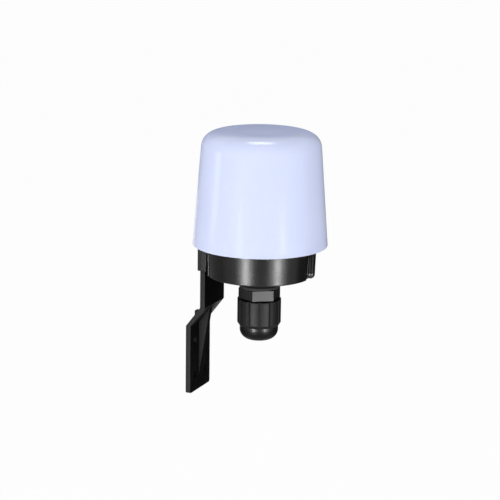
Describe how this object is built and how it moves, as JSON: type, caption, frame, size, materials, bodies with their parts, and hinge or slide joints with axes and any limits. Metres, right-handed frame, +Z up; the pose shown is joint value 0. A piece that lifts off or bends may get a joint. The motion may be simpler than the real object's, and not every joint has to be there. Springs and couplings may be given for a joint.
{
  "type": "photocell switch",
  "caption": "Outdoor photocell switch: frosted dome on a round black base, with a cable gland below and a stepped plug-in wall bracket behind.",
  "frame": {"origin": "centre of the bracket's four screw holes, on the wall plane", "axes": "+X along the wall, +Y into the wall, +Z up along the switch's axis"},
  "size_m": [0.0834, 0.0849, 0.1696],
  "materials": {
    "cover_plastic": "frosted, milky, with a soft sheen",
    "base_plastic": "satin black moulding",
    "bracket_plastic": "fine matt black moulding",
    "gland_nylon": "satin black nylon",
    "seal_rubber": "plain black rubber",
    "ring_nylon": "natural nylon",
    "board_laminate": "green solder mask",
    "screw_steel": "zinc-plated",
    "relay_plastic": "moulded blue case",
    "photoresistor_ceramic": "coated ceramic disc",
    "terminal_plastic": "moulded green",
    "film_capacitor_plastic": "moulded yellow box",
    "capacitor_sleeve": "shrunk dark sleeve",
    "varistor_ceramic": "dipped blue coating",
    "diode_plastic": "moulded black body",
    "zener_glass": "orange glass body",
    "transistor_plastic": "moulded black body",
    "resistor_ceramic": "beige lacquer"
  },
  "bodies": {
    "housing": {"dome_cover": "cover_plastic", "base_housing": "base_plastic", "cover_seal": "seal_rubber", "mounting_bracket": "bracket_plastic", "gland_body": "gland_nylon", "gland_washer": "seal_rubber", "gland_locknut": "gland_nylon", "gland_seal": "seal_rubber", "circuit_board": "board_laminate", "board_screws": "screw_steel", "relay": "relay_plastic", "photoresistor": "photoresistor_ceramic", "terminal_block": "terminal_plastic", "terminal_screws": "screw_steel", "film_capacitor": "film_capacitor_plastic", "smoothing_capacitor": "capacitor_sleeve", "varistor": "varistor_ceramic", "rectifier_diodes": "diode_plastic", "zener_diode": "zener_glass", "transistor": "transistor_plastic", "resistors": "resistor_ceramic"},
    "thrust_ring": {"gland_thrust_ring": "ring_nylon"},
    "gland_nut": {"gland_nut": "gland_nylon"}
  },
  "joints": [
    {"name": "ring_travel", "type": "slide", "parent": "housing", "child": "thrust_ring", "axis": [0, 0, -1], "range_m": [0, 0.00283]},
    {"name": "nut_turn", "type": "hinge", "parent": "thrust_ring", "child": "gland_nut", "pos_m": [0, -0.0432, 0.0297], "axis": [0, 0, -1], "range_deg": [0, 720]}
  ],
  "couplings": [
    {"joint": "ring_travel", "follows": "nut_turn", "m_per_rad": 0.00022441}
  ]
}
